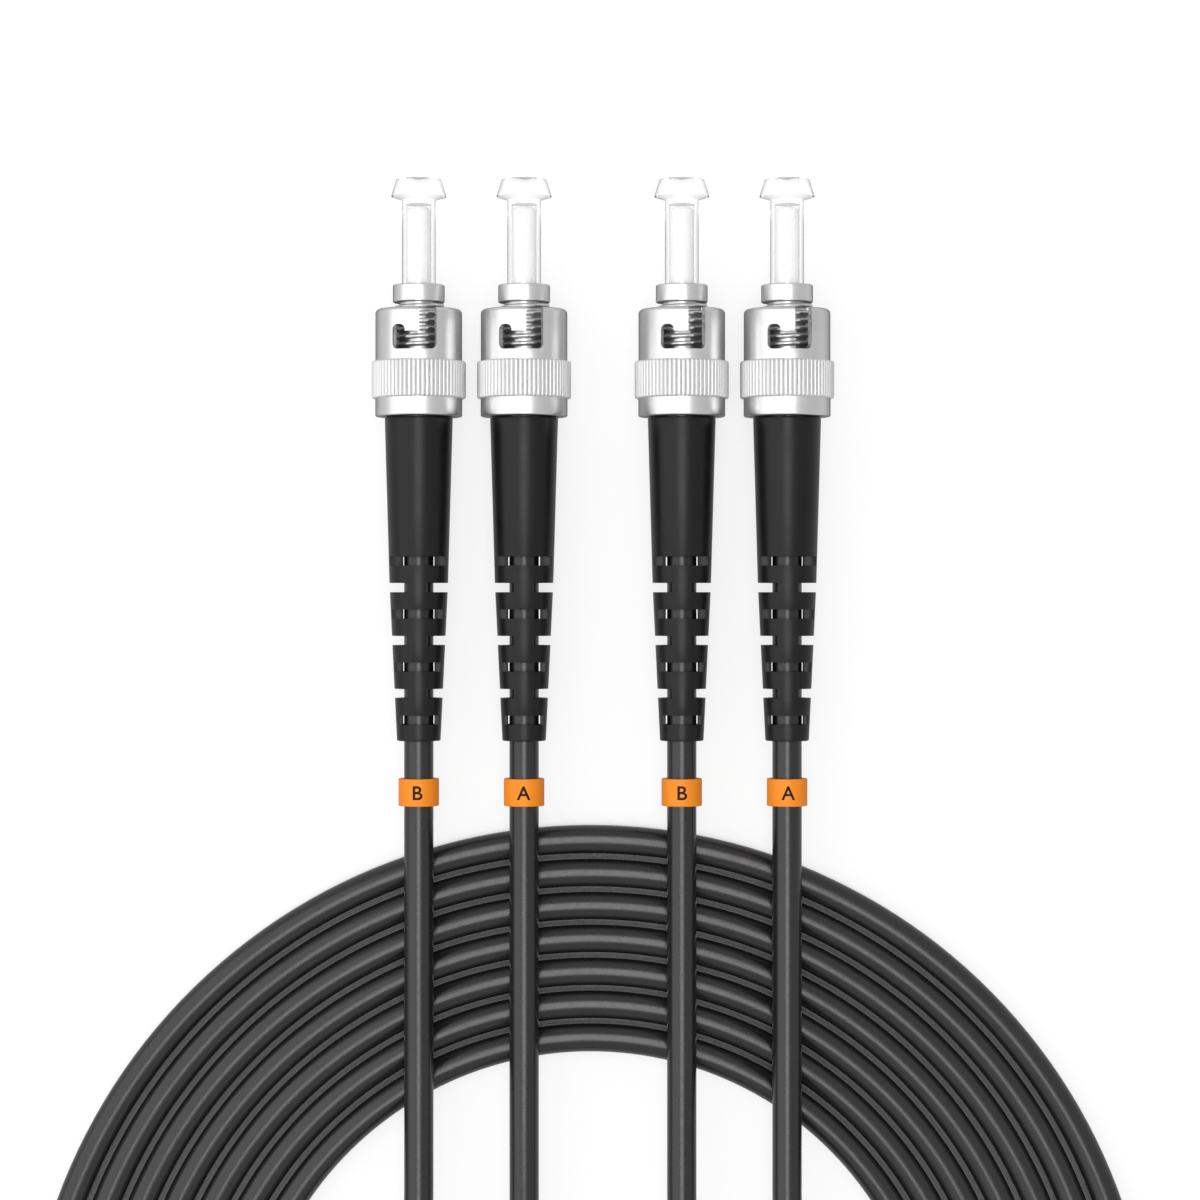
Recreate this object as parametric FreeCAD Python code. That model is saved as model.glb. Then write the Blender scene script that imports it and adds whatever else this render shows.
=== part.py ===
"""Two-cord armoured fibre patch cord with four bayonet connectors, lying coiled on a bench.

Each connector lies along +Y with its ferrule tip forward, and +Z is up from the bench.
The origin is under the middle of the four connectors, on the bench.
Along a connector, a station is a distance in front of the boot's tail end.
"""
import FreeCAD
import Part

import math
import os

os.makedirs("parts", exist_ok=True)

# Driving dimensions, in millimetres and degrees
CORD_DIAMETER = 3.0

PAIR_PITCH = 10.77
PAIR_SPACING = 26.89

BOOT_LENGTH = 33.0
BOOT_TAIL_DIAMETER = 4.45
BOOT_WAIST_STATION = 16.0
BOOT_WAIST_DIAMETER = 5.98
BOOT_FRONT_DIAMETER = 6.95
BOOT_CORD_CLEARANCE = 0.33
BOOT_SLOT_COUNT = 7
BOOT_SLOT_PITCH = 2.7
BOOT_SLOT_LENGTH = 0.95
BOOT_FIRST_SLOT = 1.67
BOOT_WEB_WIDTH = 1.96

CRIMP_LENGTH = 11.5
CRIMP_WALL = 0.5
CRIMP_FRONT_GAP = 0.6
CRIMP_FIT = 0.05
BOOT_POCKET_END_GAP = 0.05

STUB_DIAMETER = 3.4
STUB_LENGTH = 6.5
NECK_DIAMETER = 3.96
FIBRE_BORE = 1.3
COLLAR_DIAMETER = 5.3
COLLAR_LENGTH = 1.8
KEY_WIDTH = 1.0
KEY_HEIGHT = 0.5

RING_THICKNESS = 0.5
RING_DIAMETER = 5.4
RING_OPENING = 2.4
RING_FIT = 0.05
RING_POCKET_CLEARANCE = 0.15

NUT_REAR_GAP = 0.1
NUT_REAR_WALL = 1.35
NUT_REAR_LENGTH = 1.85
NUT_REAR_DIAMETER = 8.88
KNURL_LENGTH = 3.8
KNURL_DIAMETER = 9.62
KNURL_DEPTH = 0.3
KNURL_RIBS = 64
BARREL_DIAMETER = 8.85
BARREL_LENGTH = 5.3
BARREL_EDGE = 0.45
NUT_BORE = 7.1
NUT_RUNNING_FIT = 0.1

SLOT_ENTRY_WIDTH = 1.82
SLOT_ENTRY_ANGLE = 15.5
SLOT_CHANNEL_START = 1.0
SLOT_CHANNEL_LENGTH = 1.8
SLOT_HOOK_WIDTH = 1.4
SLOT_HOOK_ANGLE = -24.4
SLOT_HOOK_LENGTH = 2.5
SLOT_CORNER = 0.55
RIGHT_PAIR_TURN = 3.5

WASHER_THICKNESS = 0.5
WASHER_SEAT_GAP = 0.05
WASHER_EDGE_GAP = 0.3

COLLAR_STAND_OFF = 0.7
SPRING_WIRE = 0.5
SPRING_TURNS = 9
SPRING_NECK_GAP = 0.14
SPRING_STEPS = 12
SPRING_END_GAP = 0.04

FERRULE_DIAMETER = 2.5
FERRULE_GRIP = 6.0
FERRULE_REACH = 8.0
FERRULE_TIP_CHAMFER = 0.35

CAP_SEAT_GAP = 0.05
CAP_BORE_FIT = 0.04
CAP_TUBE_DIAMETER = 3.44
CAP_TUBE_LENGTH = 8.65
CAP_BORE_PAST_TIP = 0.3
CAP_RIM_DIAMETER = 5.67
CAP_RIM_RISE = 0.35
CAP_TOP_DIAMETER = 4.6
CAP_HEAD_LENGTH = 2.1
CAP_DISH_DEPTH = 0.6
CAP_DISH_LIP = 0.25

MARKER_LENGTH = 2.8
MARKER_DIAMETER = 4.14
MARKER_FIT = 0.03
MARKER_BEHIND_BOOT = 3.85

COIL_CENTRE = (-0.7, -96.0)
COIL_INNER_TURN = 36.55
COIL_PITCH = 3.4
COIL_TURNS = 7
BEND_SHARE = 0.45

# Worked out from the driving dimensions
CORD_RADIUS = CORD_DIAMETER / 2
AXIS_HEIGHT = KNURL_DIAMETER / 2
NECK_RADIUS = NECK_DIAMETER / 2
STUB_RADIUS = STUB_DIAMETER / 2
RING_REAR = BOOT_LENGTH - RING_THICKNESS
RING_SEAT_RADIUS = STUB_RADIUS
STUB_REAR = RING_REAR - STUB_LENGTH
CRIMP_FRONT = RING_REAR - CRIMP_FRONT_GAP
CRIMP_REAR = CRIMP_FRONT - CRIMP_LENGTH
CRIMP_INNER_RADIUS = STUB_RADIUS + CRIMP_FIT
CRIMP_RADIUS = CRIMP_INNER_RADIUS + CRIMP_WALL
NUT_REAR = BOOT_LENGTH + NUT_REAR_GAP
KNURL_REAR = NUT_REAR + NUT_REAR_LENGTH
BARREL_REAR = KNURL_REAR + KNURL_LENGTH
NUT_FRONT = BARREL_REAR + BARREL_LENGTH
WASHER_REAR = NUT_REAR + NUT_REAR_WALL + WASHER_SEAT_GAP
WASHER_FRONT = WASHER_REAR + WASHER_THICKNESS
COLLAR_REAR = NUT_FRONT + COLLAR_STAND_OFF
COLLAR_FRONT = COLLAR_REAR + COLLAR_LENGTH
FERRULE_REAR = COLLAR_FRONT - FERRULE_GRIP
FERRULE_TIP = COLLAR_FRONT + FERRULE_REACH
CAP_REAR = COLLAR_FRONT + CAP_SEAT_GAP
CAP_NECK = CAP_REAR + CAP_TUBE_LENGTH
CAP_FRONT = CAP_NECK + CAP_HEAD_LENGTH
BOOT_TAIL_Y = -CAP_FRONT / 2
MARKER_FRONT = -MARKER_BEHIND_BOOT
NUT_HOLE_RADIUS = NECK_RADIUS + NUT_RUNNING_FIT
LEG_FRONT = STUB_REAR

CONNECTORS = {
    "left_b": (-PAIR_SPACING / 2 - PAIR_PITCH / 2, 0.0),
    "left_a": (-PAIR_SPACING / 2 + PAIR_PITCH / 2, 0.0),
    "right_b": (PAIR_SPACING / 2 - PAIR_PITCH / 2, RIGHT_PAIR_TURN),
    "right_a": (PAIR_SPACING / 2 + PAIR_PITCH / 2, RIGHT_PAIR_TURN),
}

# The way each cord goes from its connector to the coil: X and Y from the coil's centre, and Z
LEG_TOP = AXIS_HEIGHT
LEG_FLOOR = CORD_RADIUS
LEG_ROUTES = {
    "left_b": [(-18.13, 10.0, LEG_TOP), (-30.0, -8.0, LEG_TOP), (-36.0, -27.0, LEG_TOP),
               (-23.0, -49.0, LEG_TOP), (4.0, -52.0, 4.95), (29.0, -40.3, LEG_FLOOR)],
    "left_a": [(-7.36, 24.0, LEG_TOP), (-7.4, -11.0, LEG_FLOOR), (5.5, -24.0, LEG_FLOOR),
               (23.5, -24.5, LEG_FLOOR), (34.6, -11.0, LEG_FLOOR)],
    "right_b": [(8.76, 10.0, LEG_TOP), (20.0, -8.0, LEG_TOP), (22.0, -26.0, LEG_TOP),
                (13.9, -40.8, LEG_TOP), (-3.0, -48.3, 4.9), (-20.0, -44.7, LEG_FLOOR)],
    "right_a": [(19.53, 10.0, LEG_TOP), (31.0, -8.0, LEG_TOP), (33.0, -28.0, LEG_TOP),
                (22.6, -44.7, 6.0), (3.8, -58.8, 4.7), (-16.7, -57.3, LEG_FLOOR)],
}


def turned(outline):
    """A solid of revolution about the connector's axis from (station, radius) corners."""
    corners = [FreeCAD.Vector(radius, station, 0) for station, radius in outline]
    face = Part.Face(Part.makePolygon(corners + corners[:1]))
    return face.revolve(FreeCAD.Vector(0, 0, 0), FreeCAD.Vector(0, 1, 0), 360)


def sleeve(rear, front, inner_radius, outer_radius):
    return turned([(rear, inner_radius), (front, inner_radius), (front, outer_radius), (rear, outer_radius)])


def slab(rear, front, x_range, z_range):
    size = (x_range[1] - x_range[0], front - rear, z_range[1] - z_range[0])
    return Part.makeBox(*size, FreeCAD.Vector(x_range[0], rear, z_range[0]))


def rounded(block, radius):
    """A slab with its four upright edges rounded."""
    upright = [edge for edge in block.Edges if abs(edge.tangentAt(edge.FirstParameter).z) > 0.9]
    return block.makeFillet(radius, upright)


def spun(shape, degrees):
    """A copy turned about the connector's axis, from +Z towards +X."""
    copy = shape.copy()
    copy.rotate(FreeCAD.Vector(0, 0, 0), FreeCAD.Vector(0, 1, 0), degrees)
    return copy


def make_boot():
    bore = CORD_RADIUS + BOOT_CORD_CLEARANCE
    crimp_bore = CRIMP_RADIUS + CRIMP_FIT
    pocket = RING_DIAMETER / 2 + RING_POCKET_CLEARANCE
    crimp_pocket = CRIMP_REAR - BOOT_POCKET_END_GAP
    ring_pocket = RING_REAR - BOOT_POCKET_END_GAP
    boot = turned([
        (0, bore), (crimp_pocket, bore), (crimp_pocket, crimp_bore), (ring_pocket, crimp_bore),
        (ring_pocket, pocket), (BOOT_LENGTH, pocket), (BOOT_LENGTH, BOOT_FRONT_DIAMETER / 2),
        (BOOT_WAIST_STATION, BOOT_WAIST_DIAMETER / 2), (0, BOOT_TAIL_DIAMETER / 2),
    ])
    reach = BOOT_FRONT_DIAMETER
    web = BOOT_WEB_WIDTH / 2
    cuts = []
    for row in range(BOOT_SLOT_COUNT):
        rear = BOOT_FIRST_SLOT + row * BOOT_SLOT_PITCH
        front = rear + BOOT_SLOT_LENGTH
        across = (-reach, reach)
        for side in ((-reach, -web), (web, reach)):
            if row % 2 == 0:
                cuts.append(slab(rear, front, across, side))
            else:
                cuts.append(slab(rear, front, side, across))
    return boot.cut(Part.makeCompound(cuts))


def make_crimp_sleeve():
    return sleeve(CRIMP_REAR, CRIMP_FRONT, CRIMP_INNER_RADIUS, CRIMP_RADIUS)


def make_ferrule_holder():
    bore = FIBRE_BORE / 2
    socket = FERRULE_DIAMETER / 2
    collar = COLLAR_DIAMETER / 2
    holder = turned([
        (STUB_REAR, bore), (FERRULE_REAR, bore), (FERRULE_REAR, socket), (COLLAR_FRONT, socket),
        (COLLAR_FRONT, collar), (COLLAR_REAR, collar), (COLLAR_REAR, NECK_RADIUS),
        (BOOT_LENGTH, NECK_RADIUS), (BOOT_LENGTH, RING_SEAT_RADIUS), (STUB_REAR, STUB_RADIUS),
    ])
    half = KEY_WIDTH / 2
    key = slab(COLLAR_REAR, COLLAR_FRONT, (-half, half), (-collar - KEY_HEIGHT, -collar + KEY_HEIGHT))
    return holder.fuse(key).removeSplitter()


def make_retaining_ring():
    ring = sleeve(RING_REAR, BOOT_LENGTH, RING_SEAT_RADIUS + RING_FIT, RING_DIAMETER / 2)
    half = RING_OPENING / 2
    return ring.cut(slab(RING_REAR, BOOT_LENGTH, (-half, half), (0, RING_DIAMETER)))


def make_knurl():
    tip = KNURL_DIAMETER / 2
    root = tip - KNURL_DEPTH
    corners = []
    for step in range(2 * KNURL_RIBS):
        angle = math.pi * step / KNURL_RIBS
        radius = root if step % 2 else tip
        corners.append(FreeCAD.Vector(radius * math.sin(angle), KNURL_REAR, radius * math.cos(angle)))
    face = Part.Face(Part.makePolygon(corners + corners[:1]))
    return face.extrude(FreeCAD.Vector(0, KNURL_LENGTH, 0))


def make_bayonet_slot():
    """One J-shaped slot: an entry from the front edge, a channel round the barrel and a hook."""
    reach = BARREL_DIAMETER
    rear = BARREL_REAR + SLOT_CHANNEL_START
    half_entry = SLOT_ENTRY_WIDTH / 2
    half_hook = SLOT_HOOK_WIDTH / 2
    entry_block = slab(rear, NUT_FRONT + 2 * SLOT_CORNER, (-half_entry, half_entry), (0, reach))
    hook_block = slab(rear, rear + SLOT_HOOK_LENGTH, (-half_hook, half_hook), (0, reach))
    entry = spun(rounded(entry_block, SLOT_CORNER), SLOT_ENTRY_ANGLE)
    hook = spun(rounded(hook_block, SLOT_CORNER), SLOT_HOOK_ANGLE)
    section = [
        FreeCAD.Vector(0, rear, 0), FreeCAD.Vector(0, rear + SLOT_CHANNEL_LENGTH, 0),
        FreeCAD.Vector(0, rear + SLOT_CHANNEL_LENGTH, reach), FreeCAD.Vector(0, rear, reach),
    ]
    face = spun(Part.Face(Part.makePolygon(section + section[:1])), SLOT_HOOK_ANGLE)
    sweep = SLOT_ENTRY_ANGLE - SLOT_HOOK_ANGLE
    channel = face.revolve(FreeCAD.Vector(0, 0, 0), FreeCAD.Vector(0, 1, 0), sweep)
    return entry.fuse([channel, hook])


def make_coupling_nut():
    rear_radius = NUT_REAR_DIAMETER / 2
    barrel = BARREL_DIAMETER / 2
    bore = NUT_BORE / 2
    root = KNURL_DIAMETER / 2 - KNURL_DEPTH
    wall_front = NUT_REAR + NUT_REAR_WALL
    body = turned([
        (NUT_REAR, NUT_HOLE_RADIUS), (wall_front, NUT_HOLE_RADIUS), (wall_front, bore), (NUT_FRONT, bore),
        (NUT_FRONT, barrel), (KNURL_REAR, barrel), (KNURL_REAR, rear_radius), (NUT_REAR, rear_radius),
    ])
    rim = [edge for edge in body.Edges
           if edge.BoundBox.YMin > NUT_FRONT - 0.01 and edge.BoundBox.XLength > 2 * barrel - 0.01]
    body = body.makeFillet(BARREL_EDGE, rim)
    grip = make_knurl().cut(sleeve(KNURL_REAR, BARREL_REAR, 0, (bore + root) / 2))
    slot = make_bayonet_slot()
    return body.fuse(grip).cut([slot, spun(slot, 180)]).removeSplitter()


def make_thrust_washer():
    return sleeve(WASHER_REAR, WASHER_FRONT, NUT_HOLE_RADIUS, NUT_BORE / 2 - WASHER_EDGE_GAP)


def make_spring():
    """A square-wire helix of flat facets, from the washer to the collar."""
    inner = NECK_RADIUS + SPRING_NECK_GAP
    outer = inner + SPRING_WIRE
    first = WASHER_FRONT + SPRING_END_GAP
    climb = COLLAR_REAR - SPRING_END_GAP - SPRING_WIRE - first
    last = SPRING_TURNS * SPRING_STEPS
    sections = []
    for step in range(last + 1):
        angle = 2 * math.pi * step / SPRING_STEPS
        rear = first + climb * step / last
        front = rear + SPRING_WIRE
        sections.append([
            FreeCAD.Vector(radius * math.sin(angle), station, radius * math.cos(angle))
            for radius, station in ((inner, rear), (outer, rear), (outer, front), (inner, front))
        ])
    faces = [Part.Face(Part.makePolygon(end + end[:1])) for end in (sections[0], sections[-1])]
    for here, there in zip(sections, sections[1:]):
        for side in range(4):
            after = (side + 1) % 4
            for corners in ((here[side], here[after], there[after]), (here[side], there[after], there[side])):
                faces.append(Part.Face(Part.makePolygon(list(corners) + [corners[0]])))
    solid = Part.Solid(Part.Shell(faces))
    if solid.Volume < 0:
        solid.reverse()
    return solid


def make_ferrule():
    radius = FERRULE_DIAMETER / 2
    return turned([
        (FERRULE_REAR, 0), (FERRULE_TIP, 0), (FERRULE_TIP, radius - FERRULE_TIP_CHAMFER),
        (FERRULE_TIP - FERRULE_TIP_CHAMFER, radius), (FERRULE_REAR, radius),
    ])


def make_dust_cap():
    bore = FERRULE_DIAMETER / 2 + CAP_BORE_FIT
    tube = CAP_TUBE_DIAMETER / 2
    bore_end = FERRULE_TIP + CAP_BORE_PAST_TIP
    top = CAP_TOP_DIAMETER / 2
    return turned([
        (CAP_REAR, bore), (bore_end, bore), (bore_end, 0), (CAP_FRONT - CAP_DISH_DEPTH, 0),
        (CAP_FRONT, top - CAP_DISH_LIP), (CAP_FRONT, top), (CAP_NECK + CAP_RIM_RISE, CAP_RIM_DIAMETER / 2),
        (CAP_NECK, tube), (CAP_REAR, tube),
    ])


def make_marker_sleeve():
    return sleeve(MARKER_FRONT - MARKER_LENGTH, MARKER_FRONT, CORD_RADIUS + MARKER_FIT, MARKER_DIAMETER / 2)


def make_tube(points, name):
    """A cord's tube on straight runs joined by tangent arcs as large as the runs allow."""
    edges = []
    radii = []
    start = points[0]
    for before, corner, after in zip(points, points[1:], points[2:]):
        into = corner - before
        away = after - corner
        turn = into.getAngle(away)
        tangent = BEND_SHARE * min(into.Length, away.Length)
        radii.append(round(tangent / math.tan(turn / 2), 1))
        arc_start = corner - into.normalize() * tangent
        arc_end = corner + away.normalize() * tangent
        inward = (away - into).normalize()
        centre = corner + inward * (tangent / math.sin(turn / 2))
        middle = centre - inward * (tangent / math.tan(turn / 2))
        edges.append(Part.LineSegment(start, arc_start).toShape())
        edges.append(Part.Arc(arc_start, middle, arc_end).toShape())
        start = arc_end
    edges.append(Part.LineSegment(start, points[-1]).toShape())
    path = Part.Wire(edges)
    section = Part.Wire(Part.Circle(points[0], points[1] - points[0], CORD_RADIUS).toShape())
    tube = path.makePipeShell([section], True, True)
    expected = math.pi * CORD_RADIUS ** 2 * path.Length
    print(f"{name}: radii {radii}, length {path.Length:.1f}, volume ratio {tube.Volume / expected:.4f}")
    return tube


def make_leg(name, axis_x):
    points = [FreeCAD.Vector(axis_x, BOOT_TAIL_Y + LEG_FRONT, AXIS_HEIGHT)]
    for x, y, z in LEG_ROUTES[name]:
        points.append(FreeCAD.Vector(COIL_CENTRE[0] + x, COIL_CENTRE[1] + y, z))
    return make_tube(points, name)


def make_coil():
    """The coil's outer shape: a flat ring with round edges, set off by the spiral's quarter pitch."""
    drift = COIL_PITCH / 4
    inner = COIL_INNER_TURN + drift
    outer = inner + COIL_PITCH * (COIL_TURNS - 1)
    corners = [FreeCAD.Vector(radius, 0, height) for radius, height in
               ((inner, 0), (outer, 0), (outer, CORD_DIAMETER), (inner, CORD_DIAMETER))]
    outer_edge = FreeCAD.Vector(outer + CORD_RADIUS, 0, CORD_RADIUS)
    inner_edge = FreeCAD.Vector(inner - CORD_RADIUS, 0, CORD_RADIUS)
    outline = Part.Wire([
        Part.LineSegment(corners[0], corners[1]).toShape(),
        Part.Arc(corners[1], outer_edge, corners[2]).toShape(),
        Part.LineSegment(corners[2], corners[3]).toShape(),
        Part.Arc(corners[3], inner_edge, corners[0]).toShape(),
    ])
    ring = Part.Face(outline).revolve(FreeCAD.Vector(0, 0, 0), FreeCAD.Vector(0, 0, 1), 360)
    ring.translate(FreeCAD.Vector(COIL_CENTRE[0], COIL_CENTRE[1] - drift, 0))
    return ring


MAKERS = {
    "dust_cap": make_dust_cap,
    "ferrule": make_ferrule,
    "ferrule_holder": make_ferrule_holder,
    "spring": make_spring,
    "thrust_washer": make_thrust_washer,
    "retaining_ring": make_retaining_ring,
    "coupling_nut": make_coupling_nut,
    "crimp_sleeve": make_crimp_sleeve,
    "boot": make_boot,
    "marker_sleeve": make_marker_sleeve,
}

for piece, maker in MAKERS.items():
    shape = maker()
    for connector, (axis_x, nut_turn) in CONNECTORS.items():
        placed = spun(shape, nut_turn) if piece == "coupling_nut" else shape.copy()
        placed.translate(FreeCAD.Vector(axis_x, BOOT_TAIL_Y, AXIS_HEIGHT))
        placed.exportStep(f"parts/{connector}_{piece}.step")

for connector, (axis_x, nut_turn) in CONNECTORS.items():
    make_leg(connector, axis_x).exportStep(f"parts/{connector}_cord.step")
make_coil().exportStep("parts/cord_coil.step")
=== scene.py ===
"""Dresses the armoured fibre patch cord and sets it out on a pale bench, seen from above."""
import math

import bmesh
import bpy
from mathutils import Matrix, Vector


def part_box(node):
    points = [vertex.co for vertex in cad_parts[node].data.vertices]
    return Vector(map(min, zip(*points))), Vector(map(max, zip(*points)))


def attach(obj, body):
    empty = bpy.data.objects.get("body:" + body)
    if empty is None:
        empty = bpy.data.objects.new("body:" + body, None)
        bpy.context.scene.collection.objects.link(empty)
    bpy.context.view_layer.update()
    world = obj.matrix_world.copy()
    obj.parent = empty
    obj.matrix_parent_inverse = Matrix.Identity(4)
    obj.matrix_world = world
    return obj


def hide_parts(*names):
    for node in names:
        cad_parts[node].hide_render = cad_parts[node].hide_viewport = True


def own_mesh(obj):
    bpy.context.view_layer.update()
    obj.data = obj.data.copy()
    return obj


bl_info = {
    "name": "Armoured fibre patch cord",
    "version": (1, 0, 0),
    "blender": (4, 5, 0),
    "location": "View3D > Sidebar > Patch cord",
    "description": "Cords, connectors, caps and markers of a coiled patch cord, on a pale bench",
    "category": "Object",
}

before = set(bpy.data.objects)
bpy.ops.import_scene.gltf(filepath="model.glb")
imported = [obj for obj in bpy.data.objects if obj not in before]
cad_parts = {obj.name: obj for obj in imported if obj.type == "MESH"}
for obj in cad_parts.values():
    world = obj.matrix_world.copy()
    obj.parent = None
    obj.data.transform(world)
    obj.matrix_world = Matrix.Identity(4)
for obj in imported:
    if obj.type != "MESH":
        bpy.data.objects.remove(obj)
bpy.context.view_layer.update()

CONNECTORS = ("left_b", "left_a", "right_b", "right_a")
NUT_TURNS = {"left_b": 0.0, "left_a": 0.0, "right_b": 3.5, "right_a": 3.5}

# Each cord runs from one connector round the coil to another. A leg's way is X, Y and Z in
# metres, X and Y from the coil's centre, and the whole turns put its last point on the spiral.
COIL_CENTRE = (-0.0007, -0.096)
LEG_TOP = 0.00481
LEG_FLOOR = 0.0015
LEG_START = 0.026
LEG_ROUTES = {
    "left_b": [(-0.01813, 0.010, LEG_TOP), (-0.030, -0.008, LEG_TOP), (-0.036, -0.027, LEG_TOP),
               (-0.023, -0.049, LEG_TOP), (0.004, -0.052, 0.00495), (0.029, -0.0403, LEG_FLOOR)],
    "left_a": [(-0.00736, 0.024, LEG_TOP), (-0.0074, -0.011, LEG_FLOOR), (0.0055, -0.024, LEG_FLOOR),
               (0.0235, -0.0245, LEG_FLOOR), (0.0346, -0.011, LEG_FLOOR)],
    "right_b": [(0.00876, 0.010, LEG_TOP), (0.020, -0.008, LEG_TOP), (0.022, -0.026, LEG_TOP),
                (0.0139, -0.0408, LEG_TOP), (-0.003, -0.0483, 0.0049), (-0.020, -0.0447, LEG_FLOOR)],
    "right_a": [(0.01953, 0.010, LEG_TOP), (0.031, -0.008, LEG_TOP), (0.033, -0.028, LEG_TOP),
                (0.0226, -0.0447, 0.006), (0.0038, -0.0588, 0.0047), (-0.0167, -0.0573, LEG_FLOOR)],
}
WHOLE_TURNS = {"left_a": 0, "right_b": 4, "left_b": 4, "right_a": 7}
CORDS = {
    "inner_cord": ("left_a", "right_b", 1.31, ("cord_coil",)),
    "outer_cord": ("left_b", "right_a", 1.349, ()),
}
SPIRAL_START = 450

# Stations along a connector's axis from its boot's tail, and radii about it, in millimetres.
MILLIMETRE = 0.001
STUB_REAR = 26.0
NECK_REAR = 33.0
FERRULE_REAR = 40.55
COLLAR_REAR = 44.75
COLLAR_FRONT = 46.55
FERRULE_SHOULDER = 54.2
FERRULE_TIP = 54.55
FIBRE_BORE = 0.65
FERRULE_TIP_RADIUS = 0.9
FERRULE_RADIUS = 1.25
STUB_RADIUS = 1.7
NECK_RADIUS = 1.98
COLLAR_RADIUS = 2.65

CAP_REAR = 46.6
CAP_BORE_END = 54.85
CAP_NECK = 55.25
CAP_RIM = 55.6
CAP_DISH_FLOOR = 56.75
CAP_FRONT = 57.35
CAP_BORE = 1.29
CAP_TUBE_RADIUS = 1.72
CAP_TOP_RADIUS = 2.3
CAP_RIM_RADIUS = 2.835
CAP_DISH_CURVE = 4.71
CAP_DISH_RINGS = (2.2, 1.9, 1.6, 1.3, 1.0, 0.7, 0.4, 0.0)

NUT_REAR = 33.1
NUT_SEAT = 34.45
KNURL_REAR = 34.95
KNURL_FRONT = 38.75
NUT_FRONT = 44.05
NUT_REAR_BORE = 2.08
NUT_BORE = 3.55
BARREL_RADIUS = 4.425
NUT_REAR_RADIUS = 4.44
KNURL_RADIUS = 4.81
RIB_COLUMNS = 6

SLOT_REAR = 39.75
SLOT_CHANNEL_FRONT = 41.55
SLOT_HOOK_FRONT = 42.25
SLOT_MOUTH = 45.15
SLOT_FLOOR = 2.9
SLOT_CHANNEL_REACH = 7.0
SLOT_REACH = 8.0
SLOT_ENTRY_HALF = 0.91
SLOT_HOOK_HALF = 0.7
SLOT_CORNER = 0.55
SLOT_ENTRY_ANGLE = 15.5
SLOT_HOOK_ANGLE = -24.4

SPRING_REAR = 35.04
SPRING_FRONT = 44.71
SPRING_RADIUS = 2.37
WIRE_RADIUS = 0.25

BOOT_BREAK = 16.0
BOOT_CRIMP_REAR = 20.35
BOOT_RING_REAR = 32.45
BOOT_FRONT = 33.0
BOOT_BORE = 1.92
BOOT_TAIL_RADIUS = 2.225
BOOT_CRIMP_BORE = 2.3
BOOT_RING_BORE = 2.85
BOOT_BREAK_RADIUS = 2.99
BOOT_FRONT_RADIUS = 3.475
BOOT_SLOT_ROWS = 7
BOOT_SLOT_START = 1.67
BOOT_SLOT_PITCH = 2.7
BOOT_SLOT_WIDTH = 0.95
BOOT_WEB_HALF = 0.98
BOOT_CUTTER_REACH = 7

MARKER_REAR = -6.65
MARKER_MIDDLE = -5.25
MARKER_FRONT = -3.85
MARKER_BORE = 1.53
MARKER_RADIUS = 2.07
LETTER_START = 3.0
LETTER_LIFT = 0.012
LETTER_WEIGHT = 0.012
LETTER_THICKNESS = 0.016

# The stage, in metres. The bench glows white to the camera, apart from painted shade in the narrow gaps
# between turns, where its own occlusion cuts the glow.
BENCH_SIZE = 4.0
BENCH_DROP = -0.00002
BENCH_GLOW = (0.74, 0.74, 0.74, 1)
BENCH_MIRRORED = 0.45
GAP_SHADE_REACH = 0.0018
GAP_SHADE_FULL = 0.33
GAP_SHADE_NONE = 0.52
OVERHEAD_PLACE = (0, 0, 0.62)
OVERHEAD_SIZE = (0.27, 0.56)
LEFT_PLACE = (-0.5, 0, 0.42)
LEFT_SIZE = (0.75, 1.0)
LEFT_TILT = -50
SENSOR_WIDTH = 36.0
NEAREST_SEEN = 0.005


class CordSettings(bpy.types.PropertyGroup):
    """Sizes and finish of the two cords and their marker sleeves."""

    diameter: bpy.props.FloatProperty(
        name="Cord diameter", description="Outside of the jacket", default=0.003,
        unit="LENGTH", precision=4)
    first_turn: bpy.props.FloatProperty(
        name="First turn", description="Radius of the coil's first turn at the top", default=0.03655,
        unit="LENGTH", precision=5)
    pitch: bpy.props.FloatProperty(
        name="Turn pitch", description="From one turn's middle to the next", default=0.0034,
        unit="LENGTH", precision=4)
    turn_points: bpy.props.IntProperty(
        name="Points a turn", description="Control points in each turn of the coil", default=16, min=12)
    jacket: bpy.props.FloatVectorProperty(
        name="Jacket", description="Colour of the jacket", default=(0.012, 0.012, 0.0125),
        subtype="COLOR", min=0, max=1)
    marker: bpy.props.FloatVectorProperty(
        name="Marker", description="Colour of the marker sleeves", default=(1.0, 0.285, 0.012),
        subtype="COLOR", min=0, max=1)
    ink: bpy.props.FloatVectorProperty(
        name="Ink", description="Colour of the markers' letters", default=(0.012, 0.009, 0.008),
        subtype="COLOR", min=0, max=1)
    letter_height: bpy.props.FloatProperty(
        name="Letter height", description="Height of a marker's capital letter", default=0.00141,
        unit="LENGTH", precision=5)


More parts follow.
